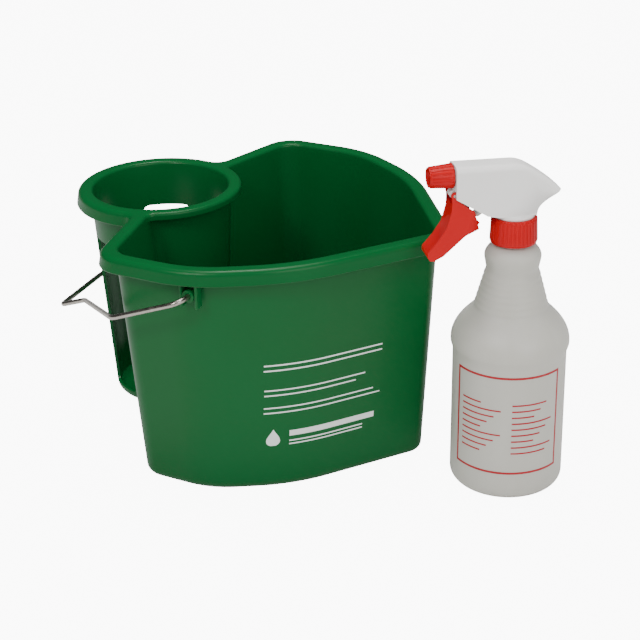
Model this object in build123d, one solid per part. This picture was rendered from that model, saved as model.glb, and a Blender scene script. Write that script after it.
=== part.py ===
from build123d import *
from math import atan, cos, degrees, hypot, pi, radians, sin, sqrt, tan
import os

# A divided cleaning pail with a round bottle cup and a wire bail, and the trigger
# spray bottle that stands at its spout.  Millimetres, +Z up.  The origin is on the
# ground under the basin; +X runs along the pail's mirror line to the spout, and the
# cup is at -X.

# ---- pail, plan of the rim's outer edge ----
PAIL_HEIGHT = 199.5
NOSE_REACH = 164.0          # origin to the tip of the spout
HALF_WIDTH = 152.5          # mirror line to the straight side of the rim
CUP_X = -100.0              # axis of the bottle cup
CUP_RIM_RADIUS = 70.4
SHOULDER_X = 20.0           # where the side starts to turn towards the spout
CORNER_X = -65.0            # where the side ends, beside the cup
NOSE_ANGLE = 54.1           # spout flank to the mirror line
CHEEK_ANGLE = 31.0          # middle flank to the mirror line
FLANK_ANGLE = 13.2          # rear flank to a line square to the mirror line
NOSE_RADIUS = 21.0
CHEEK_RADIUS = 170.0
SHOULDER_RADIUS = 100.0
CORNER_RADIUS = 26.0
WAIST_RADIUS = 9.0          # hollow corner where the basin meets the cup
POCKET_RADIUS = 8.0         # inside corner of the basin beside the cup
FLANK_RUN = 60.0            # straight length the rear flank may use for its arcs
CORNER_SHRINK = 0.45        # how much a convex corner's radius drops for each mm of inset

# ---- pail, walls ----
WALL = 2.5
BAND_WIDTH = 11.3           # rim's outer edge to the wall's outer face
SKIRT_HEIGHT = 12.0
SKIRT_LEAN = 1.2
RIM_ROUND = 3.6
RIM_PLATE = 2.6
LIP_LEAN = 2.0              # how far the mouths open out at the top
DRAFT = 3.2                 # degrees, every side wall
BASE_ROUND = 9.0
BASE_THICKNESS = 3.0
ROUND_STEPS = 5
PARTITION_BAND = 8.6        # rim's overhang into the basin beside the cup
PARTITION_DROP = 6.0

# ---- pail, bottle cup ----
CUP_FLOOR_Z = 15.0          # underside of the cup's raised floor
CUP_FLOOR = 2.6
CUP_FLOOR_ROUND = 6.0
WINDOW_START = 97.0         # degrees from +X round the cup's axis
WINDOW_END = 142.0
WINDOW_LOW = 23.0
WINDOW_TOP = 160.5
WINDOW_ROUND = 6.0
WINDOW_CUT = 12.0           # how far the cut runs in past the wall

# ---- bail and its ears ----
PIVOT_X = 16.0
PIVOT_Z = 178.5
WIRE_RADIUS = 2.05
EAR_CLEARANCE = 0.08
EAR_BOSS_RADIUS = 5.0
EAR_STAND = 6.5             # how far the ear stands off the wall
EAR_ROOT = 3.0              # how far the ear reaches into the wall
EAR_RIB = 2.4
EAR_RIB_ROUND = 2.5
EAR_WEB = 3.6
EAR_RIB_GAP = 13.0
EAR_DROP = 9.5
BAIL_REST_ANGLE = 21.0      # below level, on the cup's side
BAIL_CLEARANCE = 1.0        # wire to the cup's rim as it swings past
BAIL_HALF_WIDTH = 161.0
BAIL_KNEE = 64.0            # straight run beside the pail
GRIP_HALF_WIDTH = 89.0
GRIP_START = 147.0
GRIP_CORNER_REACH = 174.0   # pivot to the grip's corners; its middle is further out
BAIL_RADII = [9.0, 14.0, 12.0, 5.0]
BOW_RADIUS = 120.0

# ---- bottle ----
BOTTLE_X = 214.0
BODY_RADIUS = 44.5
BODY_TOP_RADIUS = 44.0
FOOT_ROUND = 8.5
PUSH_UP = 3.0
FOOT_LAND = 3.0
BODY_TOP_Z = 113.0
BEAD_RADIUS = 45.8
BEAD_Z = 121.5
SHOULDER_Z = 150.0
SHOULDER_TOP_RADIUS = 28.4
WAIST_Z = 181.0
WAIST_NECK_RADIUS = 20.0
BULGE_Z = 191.5
BULGE_RADIUS = 21.6
FINISH_RADIUS = 13.4
FINISH_Z = 200.0
NECK_TOP_Z = 217.0
BOTTLE_WALL = 1.3
NECK_BORE = 10.9

# ---- spray head, in its own plane: x forward from the bottle's axis ----
HEAD_HEADING = 218.8        # degrees, which way the nozzle points
RUN_GAP = 0.2               # face-to-face running gap
FIT_GAP = 0.05              # radial gap of parts that turn or slide on each other
GASKET = 1.4
FLANGE = 1.8
FLANGE_RADIUS = 13.2
COLLAR_FIT = 0.3
COLLAR_PLATE = 2.6
COLLAR_Z = 203.0
COLLAR_RADIUS = 18.2
COLLAR_TOP_RADIUS = 17.3
COLLAR_RIBS = 36
COLLAR_RIB_WIDTH = 1.5
COLLAR_RIB_END = 3.0        # plain height left over by the ribs
STEM_RADIUS = 10.6
DISC_RADIUS = 15.2
DISC = 2.6
SHROUD_FRONT = 48.0
SHROUD_HALF = 11.0
SHROUD_WALL = 1.6
SHROUD_ROUND = 5.0
TAIL_S = -33.0
TAIL_Z = 243.6
SHROUD_BACK = -14.0
BROW_Z = 243.2              # shroud's lower front edge
SHROUD_TOP = 267.4
PIVOT_S = 48.5
PIVOT_H = 245.2
PIN_RADIUS = 1.2
LUG_HALF = 3.0
LUG_RADIUS = 3.0
SPRAY_Z = 258.5             # axis of the nozzle
BOSS_RADIUS = 5.6
BOSS_FRONT = 56.0
TUBE_RADIUS = 4.6
TUBE_BORE = 2.0
UPRIGHT_RADIUS = 6.6
PASSAGE = 1.4
PUMP_S = 31.5               # piston's pushed end, at rest
PUMP_H = 226.0
PUMP_ANGLE = 39.0           # piston's slope, rising towards the bottle
PUMP_BORE = 5.2
PUMP_WALL = 1.4
PUMP_MOUTH = 9.8
PUMP_END = 32.0
PORT_RADIUS = 1.0
PORT_END = 40.3
ROD_RADIUS = 3.2
PISTON_NECK = 12.0
PISTON_HEAD = 6.0
RING_WIDTH = 1.6
RING_DEPTH = 0.7
SPRING_WIRE = 0.4
SPRING_RADIUS = 3.4
SPRING_TURNS = 5.0
BALL_RADIUS = 2.3
OUT_BALL_RADIUS = 1.9
BALL_ROOM = 0.35
CAGE_HEIGHT = 6.8
OUT_SEAT_Z = 253.0
DIP_RADIUS = 3.0
DIP_BORE = 2.0
DIP_LOW = 7.0
DIP_GRIP = 8.0
HOLDER_SLEEVE = 1.2
HOLDER_STEP = 6.0
HOLDER_RADIUS = 6.4
HOLDER_LOW = 206.0
HOLDER_BORE = 1.6
TRIGGER_HALF = 8.6
TRIGGER_WALL = 1.6
TRIGGER_FRONT = 2.3
PUSHER = 1.8
NOZZLE_BACK = 48.9
NOZZLE_FRONT = 67.0
NOZZLE_RADIUS = 9.4
NOZZLE_TIP_RADIUS = 8.0
NOZZLE_RIBS = 20
NOZZLE_RIB_WIDTH = 1.2
RIB = 0.55
ORIFICE = 0.6
RECESS_RADIUS = 5.8
WEB = 2.0
CORE_RADIUS = 3.0
CORE_BACK = 50.0
SEAL_S = 52.5
SEAL_WIRE = 0.8

os.makedirs("parts", exist_ok=True)


# ---------------------------------------------------------------- plan outlines
def plan_lines(inset):
    """Outward normals and distances of the upper half's four straight edges."""
    nose, cheek, flank = radians(NOSE_ANGLE), radians(CHEEK_ANGLE), radians(FLANK_ANGLE)
    tip = NOSE_REACH + NOSE_RADIUS * (1 / sin(nose) - 1)
    normals = [
        (sin(nose), cos(nose)),
        (sin(cheek), cos(cheek)),
        (0.0, 1.0),
        (-cos(flank), sin(flank)),
    ]
    through = [(tip, 0.0), (SHOULDER_X, HALF_WIDTH), (0.0, HALF_WIDTH), (CORNER_X, HALF_WIDTH)]
    reach = [n[0] * p[0] + n[1] * p[1] - inset for n, p in zip(normals, through)]
    return normals, reach


def crossing(n1, h1, n2, h2):
    """Point where two lines n.p = h meet."""
    d = n1[0] * n2[1] - n1[1] * n2[0]
    return ((h1 * n2[1] - h2 * n1[1]) / d, (n1[0] * h2 - n2[0] * h1) / d)


def corner(before, point, after, radius):
    """Arc (start, middle, end) that rounds a corner, held within its two edges."""
    u = (before[0] - point[0], before[1] - point[1])
    v = (after[0] - point[0], after[1] - point[1])
    lu, lv = hypot(*u), hypot(*v)
    u, v = (u[0] / lu, u[1] / lu), (v[0] / lv, v[1] / lv)
    half = 0.5 * (pi - abs(_angle(u, v)))
    t = min(radius * tan(half), 0.49 * lu, 0.49 * lv)
    r = t / tan(half)
    b = (u[0] + v[0], u[1] + v[1])
    lb = hypot(*b)
    k = r / cos(half) - r
    return (
        (point[0] + u[0] * t, point[1] + u[1] * t),
        (point[0] + b[0] / lb * k, point[1] + b[1] / lb * k),
        (point[0] + v[0] * t, point[1] + v[1] * t),
    )


def _angle(u, v):
    """Unsigned angle between two unit vectors."""
    dot = max(-1.0, min(1.0, u[0] * v[0] + u[1] * v[1]))
    return 2 * atan(sqrt((1 - dot) / (1 + dot))) if dot > -0.999999 else pi


def shrunk(radius, inset):
    """Radius of a tight convex corner at an inset."""
    return max(radius - CORNER_SHRINK * inset, 2.0)


def side_arcs(inset):
    """The three arcs of the upper half and the flank line, from the spout to the cup."""
    n, h = plan_lines(inset)
    tip = (h[0] / n[0][0], 0.0)
    cheek = crossing(n[0], h[0], n[1], h[1])
    shoulder = crossing(n[1], h[1], n[2], h[2])
    rear = crossing(n[2], h[2], n[3], h[3])
    foot = (rear[0] - FLANK_RUN * sin(radians(FLANK_ANGLE)), rear[1] - FLANK_RUN * cos(radians(FLANK_ANGLE)))
    nose = corner((cheek[0], -cheek[1]), tip, cheek, shrunk(NOSE_RADIUS, inset))
    arcs = [
        corner(tip, cheek, shoulder, CHEEK_RADIUS - inset),
        corner(cheek, shoulder, rear, SHOULDER_RADIUS - inset),
        corner(shoulder, rear, foot, shrunk(CORNER_RADIUS, inset)),
    ]
    return nose, arcs, n[3], h[3]


def flank_blend(normal, reach, ring, radius, side):
    """Arc between the flank line and a circle round the cup's axis.

    side is +1 for the hollow corner outside the pail and -1 for the basin's own
    inside corner.  The arc's centre is radius from the line and ring + radius from
    the cup's axis.
    """
    h = reach + side * radius - normal[0] * CUP_X
    far = ring + radius
    along = sqrt(far * far - h * h)
    c = (CUP_X + normal[0] * h + normal[1] * along, normal[1] * h - normal[0] * along)
    on_line = (c[0] - side * normal[0] * radius, c[1] - side * normal[1] * radius)
    on_ring = (CUP_X + (c[0] - CUP_X) * ring / far, c[1] * ring / far)
    mid = ((on_line[0] + on_ring[0]) / 2 - c[0], (on_line[1] + on_ring[1]) / 2 - c[1])
    k = radius / hypot(*mid)
    return on_line, (c[0] + mid[0] * k, c[1] + mid[1] * k), on_ring


def closed_wire(nose, arcs, blend, ring, back, z):
    """Closed wire from the nose arc, the upper half's arcs and the arc round the cup."""
    half = [*arcs, blend]
    edges = [arc_edge(nose, z)]
    at = nose[2]
    for arc in half:
        edges.append(Edge.make_line((*at, z), (*arc[0], z)))
        edges.append(arc_edge(arc, z))
        at = arc[2]
    low = (at[0], -at[1])
    edges.append(arc_edge((at, (CUP_X + back * ring, 0.0), low), z))
    at = low
    for arc in reversed(half):
        flipped = [(p[0], -p[1]) for p in reversed(arc)]
        if hypot(at[0] - flipped[0][0], at[1] - flipped[0][1]) > 1e-6:
            edges.append(Edge.make_line((*at, z), (*flipped[0], z)))
        edges.append(arc_edge(flipped, z))
        at = flipped[2]
    edges.append(Edge.make_line((*at, z), (*nose[0], z)))
    return Wire(edges)


def arc_edge(arc, z):
    return Edge.make_three_point_arc(*[(*p, z) for p in arc])


def pail_wire(inset, z):
    """The whole pail's outline: basin and cup in one loop."""
    nose, arcs, n, h = side_arcs(inset)
    ring = CUP_RIM_RADIUS - inset
    blend = flank_blend(n, h, ring, WAIST_RADIUS + inset, 1)
    return closed_wire(nose, arcs, blend, ring, -1, z)


def basin_wire(inset, ring, z):
    """The basin alone, which curves in round the cup."""
    nose, arcs, n, h = side_arcs(inset)
    blend = flank_blend(n, h, ring, POCKET_RADIUS, -1)
    return closed_wire(nose, arcs, blend, ring, 1, z)


def wall_inset(z):
    """Inset of the walls' outer face at a height."""
    return BAND_WIDTH + (PAIL_HEIGHT - z) * tan(radians(DRAFT))


def loft_through(wires):
    """Solid ruled between outlines."""
    return Solid.make_loft(wires, ruled=True)


# ---------------------------------------------------------------- pail
def rounded_foot():
    """(height, extra inset) pairs down the rounded lower edge."""
    steps = [0.5 * pi * i / ROUND_STEPS for i in range(ROUND_STEPS + 1)]
    return [(BASE_ROUND * (1 - cos(a)), BASE_ROUND * (1 - sin(a))) for a in steps]


def outer_body():
    levels = [(z, wall_inset(z) + extra) for z, extra in rounded_foot()]
    levels.append((PAIL_HEIGHT - RIM_PLATE / 2, wall_inset(PAIL_HEIGHT - RIM_PLATE / 2)))
    return loft_through([pail_wire(inset, z) for z, inset in levels])


def rim_block():
    """The rim's outside, from the skirt's lower edge to its rounded top."""
    low = PAIL_HEIGHT - SKIRT_HEIGHT
    levels = [(low, 0.0), (PAIL_HEIGHT - RIM_ROUND, SKIRT_LEAN)]
    for i in (1, 2, 3):
        a = 0.5 * pi * i / 3
        drop, extra = RIM_ROUND * (1 - sin(a)), RIM_ROUND * (1 - cos(a))
        levels.append((PAIL_HEIGHT - drop, SKIRT_LEAN + extra))
    return loft_through([pail_wire(inset, z) for z, inset in levels])


def under_rim():
    """The open space between the skirt and the walls."""
    low, high = PAIL_HEIGHT - SKIRT_HEIGHT - 1, PAIL_HEIGHT - RIM_PLATE
    skirt = loft_through([pail_wire(WALL, low), pail_wire(WALL + SKIRT_LEAN, high)])
    walls = loft_through([pail_wire(wall_inset(low), low), pail_wire(wall_inset(high), high)])
    return skirt - walls


def cup_radius(z):
    """Outer radius of the cup's wall."""
    return CUP_RIM_RADIUS - wall_inset(z)


def cup_cone(low, high, change):
    """Cone inside or outside the cup's wall between two heights."""
    cone = Cone(cup_radius(low) + change, cup_radius(high) + change, high - low)
    return Pos(CUP_X, 0, (low + high) / 2) * cone


def basin_hollow():
    """The water space, with a rounded floor edge and the rim's lip."""
    lip = PAIL_HEIGHT - PARTITION_DROP
    levels = [(z + BASE_THICKNESS, extra) for z, extra in rounded_foot()]
    wires = [
        basin_wire(wall_inset(z) + WALL + extra, cup_radius(z) + extra, z) for z, extra in levels
    ]
    wires.append(basin_wire(wall_inset(lip) + WALL, cup_radius(lip), lip))
    top = PAIL_HEIGHT + 1
    band = CUP_RIM_RADIUS - BAND_WIDTH + PARTITION_BAND
    mouth = [
        basin_wire(wall_inset(lip) + WALL, band, lip),
        basin_wire(wall_inset(top - RIM_ROUND) + WALL, band, top - RIM_ROUND),
        basin_wire(wall_inset(top) + WALL - LIP_LEAN, band - LIP_LEAN, top),
    ]
    return [loft_through(wires), loft_through(mouth)]


def cup_hollow():
    """The bottle's space, with a rounded mouth."""
    floor = CUP_FLOOR_Z + CUP_FLOOR
    mouth = Pos(CUP_X, 0, PAIL_HEIGHT) * Cone(cup_radius(PAIL_HEIGHT) - WALL,
                                             cup_radius(PAIL_HEIGHT) - WALL + LIP_LEAN, LIP_LEAN)
    return [cup_cone(floor, PAIL_HEIGHT + 1, -WALL), mouth]


def sector(profile, start, end):
    """A flat (radius, z) outline turned round the cup's axis between two angles."""
    face = make_face(Polyline(*[(r, 0, z) for r, z in profile], close=True))
    turned = revolve(face, Axis.Z, end - start)
    return Pos(CUP_X, 0, 0) * Rot(0, 0, start) * turned


def under_cup():
    """What is cut away below the cup's raised floor."""
    recess = cup_cone(-1, CUP_FLOOR_Z, -WALL)
    edge = [(0.0, -1.0), (90.0, -1.0), (90.0, CUP_FLOOR_Z + CUP_FLOOR_ROUND)]
    r = cup_radius(CUP_FLOOR_Z)
    for i in range(5):
        a = 0.5 * pi * i / 4
        edge.append((r - CUP_FLOOR_ROUND * (1 - cos(a)) + 0.2,
                     CUP_FLOOR_Z + CUP_FLOOR_ROUND * (1 - sin(a))))
    edge.append((0.0, CUP_FLOOR_Z))
    return [recess, sector(edge, WINDOW_START, 360 - WINDOW_START)]


def window(start):
    """One tall window with rounded corners."""
    r = cup_radius(WINDOW_TOP)
    low, high, near, far = WINDOW_LOW, WINDOW_TOP, r - WINDOW_CUT, r + 2 * WINDOW_CUT
    block = sector([(near, low), (far, low), (far, high), (near, high)],
                   start, start + WINDOW_END - WINDOW_START)
    radial = [e for e in block.edges() if abs(e.length - (far - near)) < 0.01]
    return fillet(radial, WINDOW_ROUND)


def ear(side):
    """Boss with a blind hole for the wire, between two ribs under the rim."""
    wall_y = HALF_WIDTH - wall_inset(PIVOT_Z)
    depth = EAR_STAND + EAR_ROOT
    boss = Cylinder(EAR_BOSS_RADIUS, depth, rotation=(90, 0, 0))
    body = Pos(PIVOT_X, wall_y + EAR_STAND - depth / 2, PIVOT_Z) * boss
    high = PAIL_HEIGHT - RIM_PLATE / 2
    low = PIVOT_Z - EAR_DROP
    for x in (-EAR_RIB_GAP / 2, EAR_RIB_GAP / 2):
        rib = Box(EAR_RIB, depth, high - low)
        rib = fillet(rib.edges().filter_by(Axis.X).sort_by(Axis.Z)[:2], EAR_RIB_ROUND)
        body += Pos(PIVOT_X + x, wall_y + EAR_STAND - depth / 2, (low + high) / 2) * rib
    web = Box(EAR_RIB_GAP, EAR_WEB, high - PIVOT_Z)
    body += Pos(PIVOT_X, wall_y + EAR_STAND - depth + EAR_WEB / 2, (high + PIVOT_Z) / 2) * web
    hole_r = WIRE_RADIUS + EAR_CLEARANCE
    hole = Pos(PIVOT_X, wall_y + EAR_STAND / 2 + 0.6, PIVOT_Z) * Cylinder(hole_r, EAR_STAND, rotation=(90, 0, 0))
    body = body - hole
    return body if side > 0 else mirror(body, Plane.XZ)


def pail_shell():
    body = outer_body() + rim_block()
    body = body - under_rim()
    for cut in [*basin_hollow(), *cup_hollow(), *under_cup()]:
        body = body - cut
    body = body - window(WINDOW_START) - window(360 - WINDOW_END)
    inner = loft_through([pail_wire(wall_inset(z) + WALL, z) for z in (150.0, PAIL_HEIGHT)])
    for side in (1, -1):
        body = body + (ear(side) - inner)
    return body


# ---------------------------------------------------------------- bail
def bail_points():
    """Half of the bail in its own plane: (distance from the pivot, half width)."""
    wall_y = HALF_WIDTH - wall_inset(PIVOT_Z)
    return [
        (0.0, wall_y + 0.9),
        (0.0, BAIL_HALF_WIDTH - 1.5),
        (BAIL_KNEE, BAIL_HALF_WIDTH),
        (GRIP_START, GRIP_HALF_WIDTH + 1.0),
        (GRIP_CORNER_REACH, GRIP_HALF_WIDTH - 1.0),
        (grip_reach(), 0.0),
    ]


def grip_reach():
    """Pivot to the middle of the grip before its bow is rounded.

    The rounded middle just clears the cup's rim, which it swings past.
    """
    rim = hypot(PIVOT_X - CUP_X + CUP_RIM_RADIUS, PAIL_HEIGHT - SKIRT_HEIGHT - PIVOT_Z)
    middle = rim + WIRE_RADIUS + BAIL_CLEARANCE
    bend = atan((middle - GRIP_CORNER_REACH) / (GRIP_HALF_WIDTH - 1.0))
    return middle + BOW_RADIUS * (1 / cos(bend) - 1)


def bail_wire():
    lean = radians(BAIL_REST_ANGLE)
    half = bail_points()
    flat = half + [(r, -y) for r, y in reversed(half[:-1])]
    points = [(PIVOT_X - r * cos(lean), y, PIVOT_Z - r * sin(lean)) for r, y in flat]
    radii = BAIL_RADII + [BOW_RADIUS] + BAIL_RADII[::-1]
    path = FilletPolyline(*points, radius=radii)
    start = Plane(origin=points[0], z_dir=(0, 1, 0))
    return sweep(start * Circle(WIRE_RADIUS), path=path)


# ---------------------------------------------------------------- bottle
def bottle_solid(change):
    """Turned solid of the bottle; change moves its skin inwards, for the inside."""
    foot = BODY_RADIUS - FOOT_ROUND
    dome = foot - FOOT_LAND
    bend = (FOOT_ROUND - change) * sin(pi / 4)
    side = BODY_RADIUS - change
    high = BODY_TOP_RADIUS - change
    shoulder = SHOULDER_TOP_RADIUS - change
    neck = WAIST_NECK_RADIUS - change
    bulge = BULGE_RADIUS - change
    finish = FINISH_RADIUS if change == 0 else NECK_BORE
    top = NECK_TOP_Z if change == 0 else NECK_TOP_Z + 1
    drop = 0.5 * change
    ledge = FINISH_Z + 1.0 - drop
    outline = [
        ThreePointArc((0, change + PUSH_UP), (dome / 2, change + 0.75 * PUSH_UP), (dome, change)),
        Line((dome, change), (foot, change)),
        ThreePointArc((foot, change), (foot + bend, FOOT_ROUND - bend), (side, FOOT_ROUND)),
        Line((side, FOOT_ROUND), (high, BODY_TOP_Z)),
        Spline((high, BODY_TOP_Z), (BEAD_RADIUS - change, BEAD_Z), tangents=[(0, 1), (0, 1)]),
        Spline((BEAD_RADIUS - change, BEAD_Z), (shoulder + 7.6, SHOULDER_Z - 8.2), (shoulder, SHOULDER_Z),
               tangents=[(0, 1), (-0.6, 0.8)]),
        Line((shoulder, SHOULDER_Z), (neck, WAIST_Z)),
        Spline((neck, WAIST_Z), (bulge, BULGE_Z), (finish, ledge), tangents=[(0, 1), (-1, 0.05)]),
        Line((finish, ledge), (finish, top)),
        Line((finish, top), (0, top)),
        Line((0, top), (0, change + PUSH_UP)),
    ]
    face = Plane.XZ * make_face(Curve(outline).edges())
    return revolve(face, Axis.Z)


def spray_bottle():
    return Pos(BOTTLE_X, 0, 0) * (bottle_solid(0.0) - bottle_solid(BOTTLE_WALL))


# ---------------------------------------------------------------- spray head
def on_head(part):
    """Turns a part of the spray head to its heading and sets it over the bottle."""
    return Pos(BOTTLE_X, 0, 0) * Rot(0, 0, HEAD_HEADING) * part


def upright(radius, low, high):
    return Pos(0, 0, (low + high) / 2) * Cylinder(radius, high - low)


def forward(radius, back, front):
    """Cylinder along the nozzle's axis."""
    return Pos((back + front) / 2, 0, SPRAY_Z) * Cylinder(radius, front - back, rotation=(0, 90, 0))


def on_pump(part, along):
    """Puts a part whose +Z runs into the pump barrel at a distance from the pushed end."""
    lean = radians(PUMP_ANGLE)
    at = (PUMP_S - along * cos(lean), 0, PUMP_H + along * sin(lean))
    return Pos(*at) * Rot(0, PUMP_ANGLE - 90, 0) * part


def pump_rod(radius, start, end):
    return on_pump(Cylinder(radius, end - start), (start + end) / 2)


def side_plate(points, half):
    """A side-view outline, (forward, height) points, made into a plate."""
    face = make_face(Plane.XZ * Polyline(*points, close=True))
    return extrude(face, half, both=True)


def gasket_z():
    return NECK_TOP_Z


def flange_z():
    return NECK_TOP_Z + GASKET


def plate_z():
    return flange_z() + FLANGE + RUN_GAP


def disc_z():
    return plate_z() + COLLAR_PLATE + RUN_GAP


def seat_z():
    """Seat of the inlet ball, on top of the dip tube's holder."""
    return disc_z() - 1.0


def neck_gasket():
    ring = upright(FINISH_RADIUS, gasket_z(), flange_z())
    return on_head(ring - upright(NECK_BORE, gasket_z(), flange_z()))


def screw_collar():
    top = plate_z() + COLLAR_PLATE
    height = top - COLLAR_Z
    body = Pos(0, 0, COLLAR_Z + height / 2) * Cone(COLLAR_RADIUS - RIB, COLLAR_TOP_RADIUS - RIB, height)
    lean = degrees(atan((COLLAR_RADIUS - COLLAR_TOP_RADIUS) / height))
    mid = (COLLAR_RADIUS + COLLAR_TOP_RADIUS) / 2 - RIB
    rib = Rot(0, -lean, 0) * Box(2 * RIB, COLLAR_RIB_WIDTH, height - COLLAR_RIB_END)
    for spot in PolarLocations(mid, COLLAR_RIBS):
        body += Pos(0, 0, COLLAR_Z + height / 2) * spot * rib
    body -= upright(FINISH_RADIUS + COLLAR_FIT, COLLAR_Z - 1, plate_z())
    body -= upright(STEM_RADIUS + COLLAR_FIT, plate_z() - 1, top + 1)
    return on_head(body)


def pump_body():
    """Stem, disc, upright, discharge tube, slanted barrel and pivot lug in one piece."""
    body = upright(FLANGE_RADIUS, flange_z(), flange_z() + FLANGE)
    body += upright(STEM_RADIUS, flange_z(), disc_z() + DISC)
    body += upright(DISC_RADIUS, disc_z(), disc_z() + DISC)
    body += upright(UPRIGHT_RADIUS, disc_z(), SPRAY_Z)
    body += forward(TUBE_RADIUS, -UPRIGHT_RADIUS, BOSS_FRONT - 8)
    body += forward(BOSS_RADIUS, SHROUD_FRONT - 5, BOSS_FRONT)
    body += pump_rod(PUMP_BORE + PUMP_WALL, PUMP_MOUTH, PUMP_END + PUMP_WALL)
    body += Pos(PIVOT_S, 0, PIVOT_H) * Cylinder(LUG_RADIUS, 2 * LUG_HALF, rotation=(90, 0, 0))
    lug_top = SPRAY_Z - TUBE_RADIUS / 2
    body += Pos(PIVOT_S - 2.2, 0, (PIVOT_H + lug_top) / 2) * Box(4.2, 2 * LUG_HALF, lug_top - PIVOT_H)
    rib_top = SPRAY_Z
    body += side_plate([(5, 240), (24, 238), (34, rib_top), (5, rib_top)], 1.0)
    body -= pump_rod(PUMP_BORE, PUMP_MOUTH - 8, PUMP_END)
    body -= pump_rod(PORT_RADIUS, PUMP_END - 1, PORT_END)
    body -= upright(HOLDER_RADIUS + FIT_GAP, flange_z() - 1, seat_z())
    body -= upright(BALL_RADIUS + BALL_ROOM, seat_z() - 1, seat_z() + CAGE_HEIGHT)
    body -= upright(PASSAGE, seat_z(), OUT_SEAT_Z)
    body -= upright(OUT_BALL_RADIUS + BALL_ROOM, OUT_SEAT_Z, SPRAY_Z + TUBE_BORE)
    body -= forward(TUBE_BORE, 0, BOSS_FRONT + 1)
    body -= forward(CORE_RADIUS + FIT_GAP, CORE_BACK, BOSS_FRONT + 1)
    body -= Pos(SEAL_S, 0, SPRAY_Z) * Rot(0, 90, 0) * Torus(BOSS_RADIUS - SEAL_WIRE + FIT_GAP, SEAL_WIRE)
    body -= Pos(PIVOT_S, 0, PIVOT_H) * Cylinder(PIN_RADIUS + 0.01, 3 * LUG_HALF, rotation=(90, 0, 0))
    return on_head(body)


def tube_holder():
    body = upright(HOLDER_RADIUS, HOLDER_LOW + HOLDER_STEP, seat_z())
    body += upright(DIP_RADIUS + HOLDER_SLEEVE, HOLDER_LOW, seat_z())
    body -= upright(HOLDER_BORE, HOLDER_LOW, seat_z() + 1)
    body -= upright(DIP_RADIUS + 0.02, HOLDER_LOW - 1, HOLDER_LOW + DIP_GRIP)
    return on_head(body)


def dip_tube():
    top = HOLDER_LOW + DIP_GRIP - 0.05
    return on_head(upright(DIP_RADIUS, DIP_LOW, top) - upright(DIP_BORE, DIP_LOW - 1, top + 1))


def seated_ball(radius, hole, seat):
    """Ball that rests on the rim of a round hole."""
    return on_head(Pos(0, 0, seat + sqrt(radius**2 - hole**2) + 0.03) * Sphere(radius))


def rounded_slab(face, half, radius):
    """A side-view face made solid, with its upper long edges rounded."""
    slab = extrude(Plane.XZ * face, half, both=True)
    high = [e for e in slab.edges() if abs(abs(e.center().Y) - half) < 0.01 and e.center().Z > PIVOT_H + 5]
    return fillet([e for e in high if abs(e.tangent_at(0.5).Z) < 0.9], radius)


def cover_side(inset, foot):
    """Side view of the cover, or of its hollow, which runs out through the underside."""
    top = SHROUD_TOP - inset
    front = SHROUD_FRONT - inset
    tail = (TAIL_S + 3.4 * inset, TAIL_Z + 0.5 * inset)
    back = SHROUD_BACK + inset
    low = disc_z() + DISC
    hump = Spline((4.0, top - 1.2), (-12.0 + 0.5 * inset, top - 7.3), tail, tangents=[(-1, -0.04), (-0.72, -0.7)])
    nape = Spline(tail, (-19.0 + 0.8 * inset, 235.4 + 0.6 * inset), (back, low), tangents=[(0.86, -0.5), (0.0, -1)])
    under = Polyline((back, low), *foot, (front, top))
    return make_face(Curve([Line((front, top), (4.0, top - 1.2)), hump, nape, under]).edges())


def sprayer_shroud():
    """Thin white cover: a side-view outline, rounded along its back, hollow underneath."""
    low = disc_z() + DISC
    skin = cover_side(0.0, [(-SHROUD_BACK, low), (24.0, low + 2.2), (SHROUD_FRONT, BROW_Z)])
    inner_front = SHROUD_FRONT - SHROUD_WALL
    hollow = cover_side(SHROUD_WALL, [(SHROUD_BACK + SHROUD_WALL, low - 1), (inner_front, low - 1)])
    body = rounded_slab(skin, SHROUD_HALF, SHROUD_ROUND)
    body -= rounded_slab(hollow, SHROUD_HALF - SHROUD_WALL, SHROUD_ROUND - 0.9 * SHROUD_WALL)
    body -= forward(BOSS_RADIUS + 0.1, SHROUD_FRONT - 5, SHROUD_FRONT + 5)
    slot_top = PIVOT_H + LUG_RADIUS + 0.4
    body -= Pos(SHROUD_FRONT, 0, (slot_top + 235) / 2) * Box(10, 2 * TRIGGER_HALF + 0.6, slot_top - 235)
    body -= Pos(SHROUD_FRONT, 0, SPRAY_Z - 6) * Box(10, 2 * LUG_HALF + 0.4, 12)
    return on_head(body)


def nozzle_cap():
    length = NOZZLE_FRONT - NOZZLE_BACK
    mid = (NOZZLE_FRONT + NOZZLE_BACK) / 2
    body = Pos(mid, 0, SPRAY_Z) * Rot(0, 90, 0) * Cone(NOZZLE_RADIUS - RIB, NOZZLE_TIP_RADIUS - RIB, length)
    lean = degrees(atan((NOZZLE_RADIUS - NOZZLE_TIP_RADIUS) / length))
    rib = Rot(0, -lean, 0) * Box(2 * RIB, NOZZLE_RIB_WIDTH, length - NOZZLE_RIB_WIDTH)
    mean = (NOZZLE_RADIUS + NOZZLE_TIP_RADIUS) / 2 - RIB
    for spot in PolarLocations(mean, NOZZLE_RIBS):
        body += Pos(mid - 0.6, 0, SPRAY_Z) * Rot(0, 90, 0) * spot * rib
    chamber = BOSS_FRONT + 1.2
    body -= forward(BOSS_RADIUS + FIT_GAP, NOZZLE_BACK - 1, chamber)
    body -= forward(ORIFICE, chamber - 1, NOZZLE_FRONT + 1)
    body -= forward(RECESS_RADIUS, chamber + WEB, NOZZLE_FRONT + 1)
    return on_head(body)


def nozzle_seal():
    ring = Rot(0, 90, 0) * Torus(BOSS_RADIUS - SEAL_WIRE + FIT_GAP, SEAL_WIRE - 0.03)
    return on_head(Pos(SEAL_S, 0, SPRAY_Z) * ring)


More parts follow.
